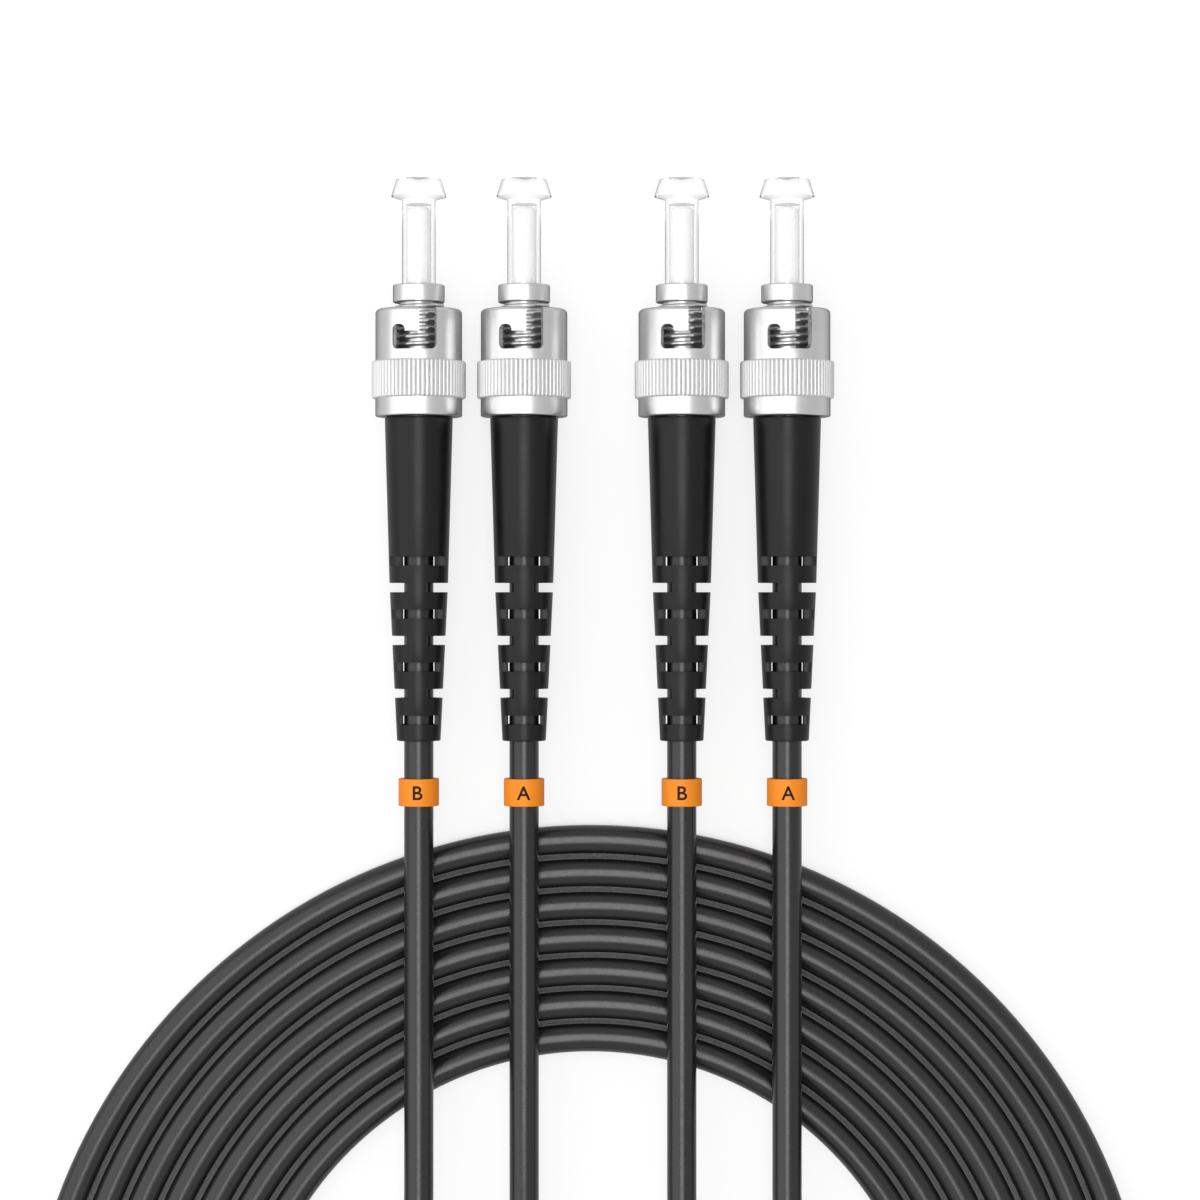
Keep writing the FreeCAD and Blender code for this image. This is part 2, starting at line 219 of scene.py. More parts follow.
class ConnectorSettings(bpy.types.PropertyGroup):
    """Finishes and fine sizes of the four connectors."""

    nickel: bpy.props.FloatVectorProperty(
        name="Nickel", description="Colour of the plated metal", default=(0.85, 0.85, 0.855),
        subtype="COLOR", min=0, max=1)
    knurl: bpy.props.FloatVectorProperty(
        name="Knurl", description="Colour of the plate on the knurled ribs", default=(0.86, 0.86, 0.86),
        subtype="COLOR", min=0, max=1)
    spring_steel: bpy.props.FloatVectorProperty(
        name="Spring steel", description="Colour of the spring and the ring", default=(0.74, 0.74, 0.75),
        subtype="COLOR", min=0, max=1)
    boot: bpy.props.FloatVectorProperty(
        name="Boot", description="Colour of the boots", default=(0.008, 0.008, 0.009),
        subtype="COLOR", min=0, max=1)
    ceramic: bpy.props.FloatVectorProperty(
        name="Ceramic", description="Colour of the ferrules", default=(0.66, 0.66, 0.655),
        subtype="COLOR", min=0, max=1)
    rib_count: bpy.props.IntProperty(
        name="Knurl ribs", description="Ribs round the coupling nut", default=64, min=12)
    groove_depth: bpy.props.FloatProperty(
        name="Knurl depth", description="Depth of the grooves between the ribs, in millimetres",
        default=0.27)
    spring_turns: bpy.props.IntProperty(
        name="Spring turns", description="Turns of the nut's spring", default=12, min=3)


class StageSettings(bpy.types.PropertyGroup):
    """Bench, lamps and camera."""

    bench: bpy.props.FloatVectorProperty(
        name="Bench", description="Colour of the bench", default=(0.3, 0.3, 0.3),
        subtype="COLOR", min=0, max=1)
    overhead_power: bpy.props.FloatProperty(
        name="Overhead lamp", description="Power of the long lamp above", default=1.45, unit="POWER")
    left_power: bpy.props.FloatProperty(
        name="Left lamp", description="Power of the wide lamp on the left", default=1.8, unit="POWER")
    room_light: bpy.props.FloatProperty(
        name="Room light", description="Strength of the light all round", default=0.53)
    camera_place: bpy.props.FloatVectorProperty(
        name="Camera", description="Place of the camera, which looks straight down",
        default=(-0.0003, -0.0143, 0.315), subtype="TRANSLATION")
    lens: bpy.props.FloatProperty(
        name="Lens", description="Focal length", default=91.0, unit="CAMERA")


def connector_axis(name):
    """X of a connector's axis, Y of its boot's tail end and Z of its axis, in metres."""
    low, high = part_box(f"{name}_ferrule")
    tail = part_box(f"{name}_boot")[0][1]
    return ((low[0] + high[0]) / 2, tail, (low[2] + high[2]) / 2)


def only(piece):
    """Makes a piece the one selected and active object."""
    bpy.ops.object.select_all(action="DESELECT")
    piece.select_set(True)
    bpy.context.view_layer.objects.active = piece


def pick_points(piece, wanted):
    """In edit mode, selects the points whose place passes the test."""
    bpy.ops.mesh.select_mode(type="VERT")
    bpy.ops.mesh.select_all(action="DESELECT")
    shape = bmesh.from_edit_mesh(piece.data)
    for point in shape.verts:
        point.select = wanted(point.co)
    shape.select_flush_mode()
    bmesh.update_edit_mesh(piece.data)


def draw_outline(name, corners, closed):
    """A wire through (station, radius, rounding) corners in millimetres, with its corners rounded."""
    bpy.ops.object.select_all(action="DESELECT")
    bpy.ops.mesh.primitive_plane_add(size=0.1)
    piece = bpy.context.object
    piece.name = name
    piece.data.name = name
    bpy.ops.object.mode_set(mode="EDIT")
    bpy.ops.mesh.select_mode(type="VERT")
    bpy.ops.mesh.select_all(action="SELECT")
    bpy.ops.mesh.merge(type="CENTER")
    bpy.ops.transform.translate(value=(corners[0][1], corners[0][0], 0))
    way = list(corners) + ([corners[0]] if closed else [])
    for before, after in zip(way, way[1:]):
        step = (after[1] - before[1], after[0] - before[0], 0)
        bpy.ops.mesh.extrude_vertices_move(TRANSFORM_OT_translate={"value": step})
    bpy.ops.mesh.select_all(action="SELECT")
    bpy.ops.mesh.remove_doubles(threshold=0.001)
    for station, radius, rounding in corners:
        if rounding:
            pick_points(piece, lambda place: math.hypot(place.x - radius, place.y - station) < 0.002)
            bpy.ops.mesh.bevel(offset=rounding, segments=4, affect="VERTICES", clamp_overlap=False)
    return piece


def turn_outline(name, corners, steps, closed=True):
    """A turned piece about the Y axis, in millimetres, from its outline."""
    piece = draw_outline(name, corners, closed)
    bpy.ops.mesh.select_all(action="SELECT")
    bpy.ops.mesh.spin(steps=steps, angle=math.tau, center=(0, 0, 0), axis=(0, 1, 0))
    bpy.ops.mesh.select_all(action="SELECT")
    bpy.ops.mesh.remove_doubles(threshold=0.001)
    bpy.ops.mesh.normals_make_consistent(inside=False)
    bpy.ops.object.mode_set(mode="OBJECT")
    return piece


def add_block(x_range, y_range, z_range, rounding=0.0):
    """A block between the given ranges, in millimetres, with its upright edges rounded."""
    ranges = (x_range, y_range, z_range)
    middle = [(low + high) / 2 for low, high in ranges]
    size = [high - low for low, high in ranges]
    bpy.ops.object.select_all(action="DESELECT")
    bpy.ops.mesh.primitive_cube_add(size=1, location=middle, scale=size)
    block = bpy.context.object
    bpy.ops.object.transform_apply(location=True, rotation=True, scale=True)
    if rounding:
        bpy.ops.object.mode_set(mode="EDIT")
        bpy.ops.mesh.select_mode(type="EDGE")
        bpy.ops.mesh.select_all(action="DESELECT")
        shape = bmesh.from_edit_mesh(block.data)
        for edge in shape.edges:
            along = edge.verts[1].co - edge.verts[0].co
            edge.select = abs(along.z) > 0.9 * along.length
        bmesh.update_edit_mesh(block.data)
        bpy.ops.mesh.bevel(offset=rounding, segments=5, affect="EDGES")
        bpy.ops.object.mode_set(mode="OBJECT")
    return block


def turn_about_axis(piece, degrees):
    """Turns a piece about the Y axis, from +Z towards +X, into its mesh."""
    only(piece)
    piece.rotation_euler = (0, math.radians(degrees), 0)
    bpy.ops.object.transform_apply(location=True, rotation=True, scale=True)


def combine(piece, tool, operation):
    """Joins a tool to a piece or cuts it out, and removes the tool."""
    only(piece)
    boolean = piece.modifiers.new("combine", "BOOLEAN")
    boolean.operation = operation
    boolean.solver = "EXACT"
    boolean.object = tool
    bpy.ops.object.modifier_apply(modifier=boolean.name)
    bpy.data.objects.remove(tool)


def join_pieces(pieces):
    """One object of several pieces that don't touch."""
    only(pieces[0])
    for piece in pieces[1:]:
        piece.select_set(True)
    bpy.ops.object.join()
    return bpy.context.object


def soften_edges(piece, offset, wanted=None, sharpness=35.0):
    """Gives a piece's sharp edges, or those of them that pass the test, a fine rounding."""
    only(piece)
    bpy.ops.object.mode_set(mode="EDIT")
    bpy.ops.mesh.select_mode(type="EDGE")
    bpy.ops.mesh.select_all(action="DESELECT")
    bpy.ops.mesh.edges_select_sharp(sharpness=math.radians(sharpness))
    if wanted:
        shape = bmesh.from_edit_mesh(piece.data)
        for edge in shape.edges:
            if edge.select and not all(wanted(point.co) for point in edge.verts):
                edge.select = False
        bmesh.update_edit_mesh(piece.data)
    bpy.ops.mesh.bevel(offset=offset, segments=2, affect="EDGES", clamp_overlap=True)
    bpy.ops.object.mode_set(mode="OBJECT")


def smooth(piece, degrees=30.0):
    """Shades a piece smooth, apart from edges sharper than the angle."""
    only(piece)
    bpy.ops.object.shade_smooth_by_angle(angle=math.radians(degrees))


def fit_to_connectors(master, kind, finish, body=None, turns=None):
    """Copies a piece in millimetres onto every connector, in place of its plain node."""
    if not master.data.materials:
        master.data.materials.append(finish)
    fitted = {}
    for name in CONNECTORS:
        only(master)
        bpy.ops.object.duplicate(linked=False)
        piece = bpy.context.object
        piece.name = f"{name}_{kind}_dressed"
        piece.data.name = piece.name
        piece.location = connector_axis(name)
        piece.rotation_euler = (0, math.radians(turns[name] if turns else 0.0), 0)
        piece.scale = (MILLIMETRE, MILLIMETRE, MILLIMETRE)
        bpy.ops.object.transform_apply(location=True, rotation=True, scale=True)
        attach(piece, f"{name}_{body}" if body else "cords")
        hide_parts(f"{name}_{kind}")
        fitted[name] = piece
    bpy.data.objects.remove(master)
    return fitted


def start_finish(name):
    """A new material with its shader, and its place on the piece."""
    finish = bpy.data.materials.new(name)
    finish.use_nodes = True
    nodes = finish.node_tree.nodes
    shader = nodes["Principled BSDF"]
    place = nodes.new("ShaderNodeTexCoord")
    return finish, nodes, finish.node_tree.links, shader, place.outputs["Object"]


def add_grain(nodes, links, place, scale, detail, stretch=(1, 1, 1)):
    """A noise at the given scale on the piece, stretched along its axes."""
    mapping = nodes.new("ShaderNodeMapping")
    mapping.inputs["Scale"].default_value = stretch
    links.new(place, mapping.inputs["Vector"])
    noise = nodes.new("ShaderNodeTexNoise")
    noise.inputs["Scale"].default_value = scale
    noise.inputs["Detail"].default_value = detail
    links.new(mapping.outputs["Vector"], noise.inputs["Vector"])
    return noise.outputs["Fac"]


def spread(nodes, links, grain, low, high):
    """The grain as a number between two values."""
    spread_node = nodes.new("ShaderNodeMapRange")
    spread_node.inputs["From Min"].default_value = 0.3
    spread_node.inputs["From Max"].default_value = 0.7
    spread_node.inputs["To Min"].default_value = low
    spread_node.inputs["To Max"].default_value = high
    links.new(grain, spread_node.inputs["Value"])
    return spread_node.outputs["Result"]


def tint(nodes, links, grain, colour, depth):
    """The colour, lighter and darker by the grain."""
    mix = nodes.new("ShaderNodeMix")
    mix.data_type = "RGBA"
    mix.inputs["A"].default_value = (*[value * (1 - depth) for value in colour], 1)
    mix.inputs["B"].default_value = (*[min(1.0, value * (1 + depth)) for value in colour], 1)
    links.new(grain, mix.inputs["Factor"])
    return mix.outputs["Result"]


def raise_grain(nodes, links, grain, height):
    """The grain as a fine relief, with its height in metres."""
    bump = nodes.new("ShaderNodeBump")
    bump.inputs["Strength"].default_value = 1.0
    bump.inputs["Distance"].default_value = height
    links.new(grain, bump.inputs["Height"])
    return bump.outputs["Normal"]


def worked_out(nodes, links, operation, first, second):
    """One number worked out from another, and from a third or a plain value."""
    node = nodes.new("ShaderNodeMath")
    node.operation = operation
    links.new(first, node.inputs[0])
    if isinstance(second, float):
        node.inputs[1].default_value = second
    else:
        links.new(second, node.inputs[1])
    return node.outputs["Value"]


def jacket_finish(colour):
    """Smooth extruded jacket: glossy black with a faint orange-peel."""
    finish, nodes, links, shader, place = start_finish("cord_jacket")
    peel = add_grain(nodes, links, place, scale=1400, detail=3)
    clouds = add_grain(nodes, links, place, scale=130, detail=2)
    links.new(tint(nodes, links, clouds, colour, depth=0.18), shader.inputs["Base Color"])
    links.new(spread(nodes, links, peel, low=0.23, high=0.3), shader.inputs["Roughness"])
    links.new(raise_grain(nodes, links, peel, height=0.000002), shader.inputs["Normal"])
    shader.inputs["Specular IOR Level"].default_value = 0.7
    return finish


def boot_finish(colour):
    """Moulded soft boot: near black with a fine spark-eroded grain."""
    finish, nodes, links, shader, place = start_finish("boot_elastomer")
    grain = add_grain(nodes, links, place, scale=5200, detail=4)
    clouds = add_grain(nodes, links, place, scale=260, detail=2)
    links.new(tint(nodes, links, clouds, colour, depth=0.2), shader.inputs["Base Color"])
    links.new(spread(nodes, links, clouds, low=0.3, high=0.38), shader.inputs["Roughness"])
    links.new(raise_grain(nodes, links, grain, height=0.000003), shader.inputs["Normal"])
    shader.inputs["Specular IOR Level"].default_value = 0.32
    return finish


def nickel_finish(colour):
    """Satin nickel over turned brass: fine lathe lines round the axis and soft clouding."""
    finish, nodes, links, shader, place = start_finish("satin_nickel")
    lathe = add_grain(nodes, links, place, scale=100, detail=4, stretch=(2, 110, 2))
    clouds = add_grain(nodes, links, place, scale=420, detail=3)
    links.new(tint(nodes, links, clouds, colour, depth=0.05), shader.inputs["Base Color"])
    links.new(spread(nodes, links, lathe, low=0.3, high=0.37), shader.inputs["Roughness"])
    links.new(raise_grain(nodes, links, lathe, height=0.0000003), shader.inputs["Normal"])
    shader.inputs["Metallic"].default_value = 1.0
    # The dark edge tint darkens the reflection where the faces turn edge on: a little of it is the metal's
    # own, the rest is painted shade.
    shader.inputs["Specular Tint"].default_value = (0.2, 0.2, 0.2, 1)
    return finish


def knurl_finish(colour):
    """The same plate on the pressed ribs, duller and paler than the turned faces."""
    finish, nodes, links, shader, place = start_finish("knurled_nickel")
    pits = add_grain(nodes, links, place, scale=2600, detail=3)
    links.new(tint(nodes, links, pits, colour, depth=0.05), shader.inputs["Base Color"])
    links.new(spread(nodes, links, pits, low=0.46, high=0.58), shader.inputs["Roughness"])
    shader.inputs["Metallic"].default_value = 1.0
    return finish


def spring_finish(colour):
    """Bright drawn spring wire."""
    finish, nodes, links, shader, place = start_finish("spring_wire")
    clouds = add_grain(nodes, links, place, scale=1500, detail=3)
    links.new(tint(nodes, links, clouds, colour, depth=0.12), shader.inputs["Base Color"])
    links.new(spread(nodes, links, clouds, low=0.27, high=0.36), shader.inputs["Roughness"])
    shader.inputs["Metallic"].default_value = 1.0
    return finish


def ceramic_finish(colour):
    """Ground white zirconia, polished."""
    finish, nodes, links, shader, place = start_finish("white_zirconia")
    grind = add_grain(nodes, links, place, scale=900, detail=3, stretch=(1, 5, 1))
    links.new(tint(nodes, links, grind, colour, depth=0.03), shader.inputs["Base Color"])
    links.new(spread(nodes, links, grind, low=0.1, high=0.18), shader.inputs["Roughness"])
    shader.inputs["IOR"].default_value = 2.16
    return finish


def cap_finish():
    """Clear thin-walled cap with a trace of flow lines, greyer where its walls turn edge on: painted shade
    on its edges.
    """
    finish, nodes, links, shader, place = start_finish("clear_cap_plastic")
    flow = add_grain(nodes, links, place, scale=300, detail=2, stretch=(1, 0.3, 1))
    links.new(spread(nodes, links, flow, low=0.015, high=0.06), shader.inputs["Roughness"])
    # Painted shade: the colour darkens by the view's angle where the walls turn edge on.
    turned_away = nodes.new("ShaderNodeLayerWeight").outputs["Facing"]
    painted_edge_shade = nodes.new("ShaderNodeMapRange")
    painted_edge_shade.inputs["From Min"].default_value = 0.42
    painted_edge_shade.inputs["From Max"].default_value = 0.9
    links.new(turned_away, painted_edge_shade.inputs["Value"])
    wall_with_painted_edge_shade = nodes.new("ShaderNodeMix")
    wall_with_painted_edge_shade.data_type = "RGBA"
    wall_with_painted_edge_shade.inputs["A"].default_value = (0.98, 0.983, 0.985, 1)
    wall_with_painted_edge_shade.inputs["B"].default_value = (0.12, 0.12, 0.12, 1)
    links.new(painted_edge_shade.outputs["Result"], wall_with_painted_edge_shade.inputs["Factor"])
    links.new(wall_with_painted_edge_shade.outputs["Result"], shader.inputs["Base Color"])
    shader.inputs["Transmission Weight"].default_value = 1.0
    shader.inputs["IOR"].default_value = 1.13
    return finish


def marker_finish(colour):
    """Moulded orange sleeve with a soft sheen."""
    finish, nodes, links, shader, place = start_finish("marker_orange")
    grain = add_grain(nodes, links, place, scale=3500, detail=3)
    clouds = add_grain(nodes, links, place, scale=500, detail=2)
    links.new(tint(nodes, links, clouds, colour, depth=0.06), shader.inputs["Base Color"])
    links.new(spread(nodes, links, clouds, low=0.38, high=0.48), shader.inputs["Roughness"])
    links.new(raise_grain(nodes, links, grain, height=0.000002), shader.inputs["Normal"])
    shader.inputs["Specular IOR Level"].default_value = 0.3
    return finish


def ink_finish(colour):
    """Printed ink, a little uneven."""
    finish, nodes, links, shader, place = start_finish("marker_ink")
    clouds = add_grain(nodes, links, place, scale=6000, detail=2)
    links.new(tint(nodes, links, clouds, colour, depth=0.3), shader.inputs["Base Color"])
    links.new(spread(nodes, links, clouds, low=0.5, high=0.7), shader.inputs["Roughness"])
    shader.inputs["Specular IOR Level"].default_value = 0.15
    return finish


def leg_points(name):
    """A leg's control points from its connector to the coil, straight until the turn."""
    x, tail, z = connector_axis(name)
    points = [(x, tail + LEG_START, z)]
    points += [(COIL_CENTRE[0] + px, COIL_CENTRE[1] + py, pz) for px, py, pz in LEG_ROUTES[name]]
    start, corner, after = points[:3]
    share = math.dist(corner, after) / math.dist(corner, start)
    straight_end = tuple(at + (from_start - at) * share for at, from_start in zip(corner, start))
    return [start, straight_end] + points[1:]


def coil_angle(name):
    """Where a leg's last point is on the spiral, in degrees with its whole turns."""
    x, y, z = LEG_ROUTES[name][-1]
    return math.degrees(math.atan2(y, x)) % 360 + 360 * WHOLE_TURNS[name]


def coil_points(first, last, sizes):
    """The coil's control points between two angles, so that the line keeps the spiral's radius."""
    steps = math.ceil((last - first) * sizes.turn_points / 360)
    step = (last - first) / steps
    points = []
    for count in range(1, steps):
        angle = first + step * count
        radius = sizes.first_turn + sizes.pitch * (angle - SPIRAL_START) / 360
        reach = radius / math.cos(math.radians(step / 2))
        x = COIL_CENTRE[0] + reach * math.cos(math.radians(angle))
        y = COIL_CENTRE[1] + reach * math.sin(math.radians(angle))
        points.append((x, y, LEG_FLOOR))
    return points


class PATCHCORD_OT_connectors(bpy.types.Operator):
    """Turn the ferrules, holders and clear caps, and finish the small inner metal parts"""

    bl_idname = "patchcord.connectors"
    bl_label = "Ferrules, holders and caps"

    def execute(self, context):
        colours = context.scene.patchcord_connectors
        nickel = nickel_finish(colours.nickel)
        steel = spring_finish(colours.spring_steel)
        ferrule = turn_outline("ferrule", [
            (FERRULE_REAR, 0, 0), (FERRULE_REAR, FERRULE_RADIUS, 0.1),
            (FERRULE_SHOULDER, FERRULE_RADIUS, 0.12), (FERRULE_TIP, FERRULE_TIP_RADIUS, 0.1),
            (FERRULE_TIP, 0, 0),
        ], 64, closed=False)
        smooth(ferrule)
        fit_to_connectors(ferrule, "ferrule", ceramic_finish(colours.ceramic))
        holder = turn_outline("ferrule_holder", [
            (STUB_REAR, FIBRE_BORE, 0), (FERRULE_REAR, FIBRE_BORE, 0),
            (FERRULE_REAR, FERRULE_RADIUS, 0), (COLLAR_FRONT, FERRULE_RADIUS, 0),
            (COLLAR_FRONT, COLLAR_RADIUS, 0.14), (COLLAR_REAR, COLLAR_RADIUS, 0.14),
            (COLLAR_REAR, NECK_RADIUS, 0), (NECK_REAR, NECK_RADIUS, 0),
            (NECK_REAR, STUB_RADIUS, 0), (STUB_REAR, STUB_RADIUS, 0.1),
        ], 96)
        key = add_block((-0.5, 0.5), (44.78, 46.5), (-3.15, -2.4))
        soften_edges(key, 0.06)
        combine(holder, key, "UNION")
        smooth(holder)
        fit_to_connectors(holder, "ferrule_holder", nickel)
        dish_middle = CAP_DISH_FLOOR + CAP_DISH_CURVE
        dish = [(dish_middle - math.sqrt(CAP_DISH_CURVE ** 2 - radius ** 2), radius, 0)
                for radius in CAP_DISH_RINGS]
        cap = turn_outline("dust_cap", [
            (CAP_BORE_END, 0, 0), (CAP_BORE_END, CAP_BORE, 0.15), (CAP_REAR, CAP_BORE, 0.06),
            (CAP_REAR, CAP_TUBE_RADIUS, 0.08), (CAP_NECK, CAP_TUBE_RADIUS, 0.06),
            (CAP_RIM, CAP_RIM_RADIUS, 0.06), (CAP_FRONT, CAP_TOP_RADIUS, 0.04), *dish,
        ], 96, closed=False)
        smooth(cap, 40)
        caps = fit_to_connectors(cap, "dust_cap", cap_finish(), body="cap")
        for piece in caps.values():
            piece.visible_shadow = False
        inner_parts = {"thrust_washer": nickel, "crimp_sleeve": nickel, "retaining_ring": steel}
        for name in CONNECTORS:
            for kind, finish in inner_parts.items():
                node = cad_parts[f"{name}_{kind}"]
                node.material_slots[0].material = finish
        return {"FINISHED"}


class PATCHCORD_OT_nuts(bpy.types.Operator):
    """Turn, knurl and slot the coupling nuts"""

    bl_idname = "patchcord.nuts"
    bl_label = "Coupling nuts"

    def execute(self, context):
        sizes = context.scene.patchcord_connectors
        columns = RIB_COLUMNS * sizes.rib_count
        nut = turn_outline("coupling_nut", [
            (NUT_REAR, NUT_REAR_BORE, 0.08), (NUT_SEAT, NUT_REAR_BORE, 0), (NUT_SEAT, NUT_BORE, 0),
            (NUT_FRONT, NUT_BORE, 0.08), (NUT_FRONT, BARREL_RADIUS, 0.42), (KNURL_FRONT, BARREL_RADIUS, 0),
            (KNURL_FRONT, KNURL_RADIUS, 0.2), (KNURL_REAR, KNURL_RADIUS, 0.2),
            (KNURL_REAR, NUT_REAR_RADIUS, 0), (NUT_REAR, NUT_REAR_RADIUS, 0.16),
        ], columns)
        self.knurl(nut, columns, sizes.groove_depth)
        slot = self.bayonet_slot()
        combine(nut, slot, "DIFFERENCE")
        soften_edges(nut, 0.05, self.near_slot)
        smooth(nut, 28)
        nut.data.materials.append(bpy.data.materials["satin_nickel"])
        nut.data.materials.append(knurl_finish(sizes.knurl))
        for face in nut.data.polygons:
            place = face.center
            on_knurl = KNURL_REAR - 0.01 < place.y < KNURL_FRONT + 0.01
            if on_knurl and math.hypot(place.x, place.z) > NUT_REAR_RADIUS + 0.02:
                face.material_index = 1
        fit_to_connectors(nut, "coupling_nut", bpy.data.materials["satin_nickel"],
                          body="nut", turns=NUT_TURNS)
        return {"FINISHED"}

    def near_slot(self, place):
        """Whether a point is by one of the slots, behind the nut's rounded front edge."""
        return SLOT_REAR - 0.15 < place.y < NUT_FRONT - 0.65 and abs(place.z) > 1.5

    def knurl(self, nut, columns, depth):
        """Sinks a groove between each two ribs, with a rounded shoulder on both sides."""
        only(nut)
        bpy.ops.object.mode_set(mode="EDIT")
        for column_offsets, sink in (((0,), depth), ((1, 5), 0.3 * depth), ((2, 4), 0.06 * depth)):
            def on_groove(place):
                radius = math.hypot(place.x, place.z)
                column = round(math.atan2(place.z, place.x) / math.tau * columns) % RIB_COLUMNS
                on_knurl = KNURL_REAR - 0.05 < place.y < KNURL_FRONT + 0.05
                return column in column_offsets and radius > 4.5 and on_knurl

            pick_points(nut, on_groove)
            ratio = 1 - sink / KNURL_RADIUS
            bpy.ops.transform.resize(value=(ratio, 1, ratio), center_override=(0, 0, 0))
        bpy.ops.object.mode_set(mode="OBJECT")

    def bayonet_slot(self):
        """The cutter for both J-shaped slots: an entry, a channel round the barrel and a hook."""
        entry_width = (-SLOT_ENTRY_HALF, SLOT_ENTRY_HALF)
        entry = add_block(entry_width, (SLOT_REAR, SLOT_MOUTH), (0, SLOT_REACH), SLOT_CORNER)
        turn_about_axis(entry, SLOT_ENTRY_ANGLE)
        hook_width = (-SLOT_HOOK_HALF, SLOT_HOOK_HALF)
        hook = add_block(hook_width, (SLOT_REAR, SLOT_HOOK_FRONT), (0, SLOT_REACH), SLOT_CORNER)
        turn_about_axis(hook, SLOT_HOOK_ANGLE)
        channel = turn_outline("channel", [
            (SLOT_REAR, SLOT_FLOOR, 0), (SLOT_CHANNEL_FRONT, SLOT_FLOOR, 0),
            (SLOT_CHANNEL_FRONT, SLOT_CHANNEL_REACH, 0), (SLOT_REAR, SLOT_CHANNEL_REACH, 0),
        ], 180)
        only(channel)
        bpy.ops.object.mode_set(mode="EDIT")
        for degrees, side in ((SLOT_ENTRY_ANGLE, 1), (SLOT_HOOK_ANGLE, -1)):
            angle = math.radians(degrees)
            across = (side * math.cos(angle), 0, -side * math.sin(angle))
            bpy.ops.mesh.select_all(action="SELECT")
            bpy.ops.mesh.bisect(plane_co=(0, 0, 0), plane_no=across, use_fill=True, clear_outer=True)
        bpy.ops.object.mode_set(mode="OBJECT")
        combine(entry, channel, "UNION")
        combine(entry, hook, "UNION")
        only(entry)
        bpy.ops.object.duplicate(linked=False)
        far_side = bpy.context.object
        turn_about_axis(far_side, 180)
        return join_pieces([entry, far_side])


class PATCHCORD_OT_springs(bpy.types.Operator):
    """Wind the nuts' springs from round wire"""

    bl_idname = "patchcord.springs"
    bl_label = "Springs"

    def execute(self, context):
        sizes = context.scene.patchcord_connectors
        length = SPRING_FRONT - SPRING_REAR
        bpy.ops.object.select_all(action="DESELECT")
        bpy.ops.mesh.primitive_circle_add(
            vertices=12, radius=WIRE_RADIUS, location=(SPRING_RADIUS, SPRING_REAR + WIRE_RADIUS, 0))
        spring = bpy.context.object
        spring.name = "spring"
        bpy.ops.object.transform_apply(location=True, rotation=True, scale=True)
        winding = spring.modifiers.new("winding", "SCREW")
        winding.axis = "Y"
        winding.iterations = sizes.spring_turns
        winding.screw_offset = (length - 2 * WIRE_RADIUS) / sizes.spring_turns
        winding.steps = 32
        winding.render_steps = 32
        winding.use_merge_vertices = True
        winding.merge_threshold = 0.001
        bpy.ops.object.modifier_apply(modifier=winding.name)
        bpy.ops.object.mode_set(mode="EDIT")
        bpy.ops.mesh.select_mode(type="EDGE")
        bpy.ops.mesh.select_all(action="DESELECT")
        bpy.ops.mesh.select_non_manifold(use_wire=False, use_multi_face=False, use_non_contiguous=False)
        bpy.ops.mesh.fill_holes(sides=0)
        bpy.ops.mesh.select_all(action="SELECT")
        bpy.ops.mesh.normals_make_consistent(inside=False)
        bpy.ops.object.mode_set(mode="OBJECT")
        smooth(spring, 50)
        fitted = fit_to_connectors(spring, "spring", bpy.data.materials["spring_wire"])
        for name, piece in fitted.items():
            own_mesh(piece)
        return {"FINISHED"}


class PATCHCORD_OT_boots(bpy.types.Operator):
    """Mould the slotted boots"""

    bl_idname = "patchcord.boots"
    bl_label = "Boots"

    def execute(self, context):
        boot = turn_outline("boot", [
            (0, BOOT_BORE, 0.06), (BOOT_CRIMP_REAR, BOOT_BORE, 0), (BOOT_CRIMP_REAR, BOOT_CRIMP_BORE, 0),
            (BOOT_RING_REAR, BOOT_CRIMP_BORE, 0), (BOOT_RING_REAR, BOOT_RING_BORE, 0),
            (BOOT_FRONT, BOOT_RING_BORE, 0), (BOOT_FRONT, BOOT_FRONT_RADIUS, 0.18),
            (BOOT_BREAK, BOOT_BREAK_RADIUS, 0), (0, BOOT_TAIL_RADIUS, 0.12),
        ], 96)
        across = (-BOOT_CUTTER_REACH, BOOT_CUTTER_REACH)
        sides = ((-BOOT_CUTTER_REACH, -BOOT_WEB_HALF), (BOOT_WEB_HALF, BOOT_CUTTER_REACH))
        cutters = []
        for row in range(BOOT_SLOT_ROWS):
            rear = BOOT_SLOT_START + BOOT_SLOT_PITCH * row
            for side in sides:
                x_range, z_range = (across, side) if row % 2 == 0 else (side, across)
                cutters.append(add_block(x_range, (rear, rear + BOOT_SLOT_WIDTH), z_range))
        combine(boot, join_pieces(cutters), "DIFFERENCE")
        soften_edges(boot, 0.06, lambda place: 1.0 < place.y < 19.5)
        smooth(boot, 30)
        finish = boot_finish(context.scene.patchcord_connectors.boot)
        fit_to_connectors(boot, "boot", finish)
        return {"FINISHED"}


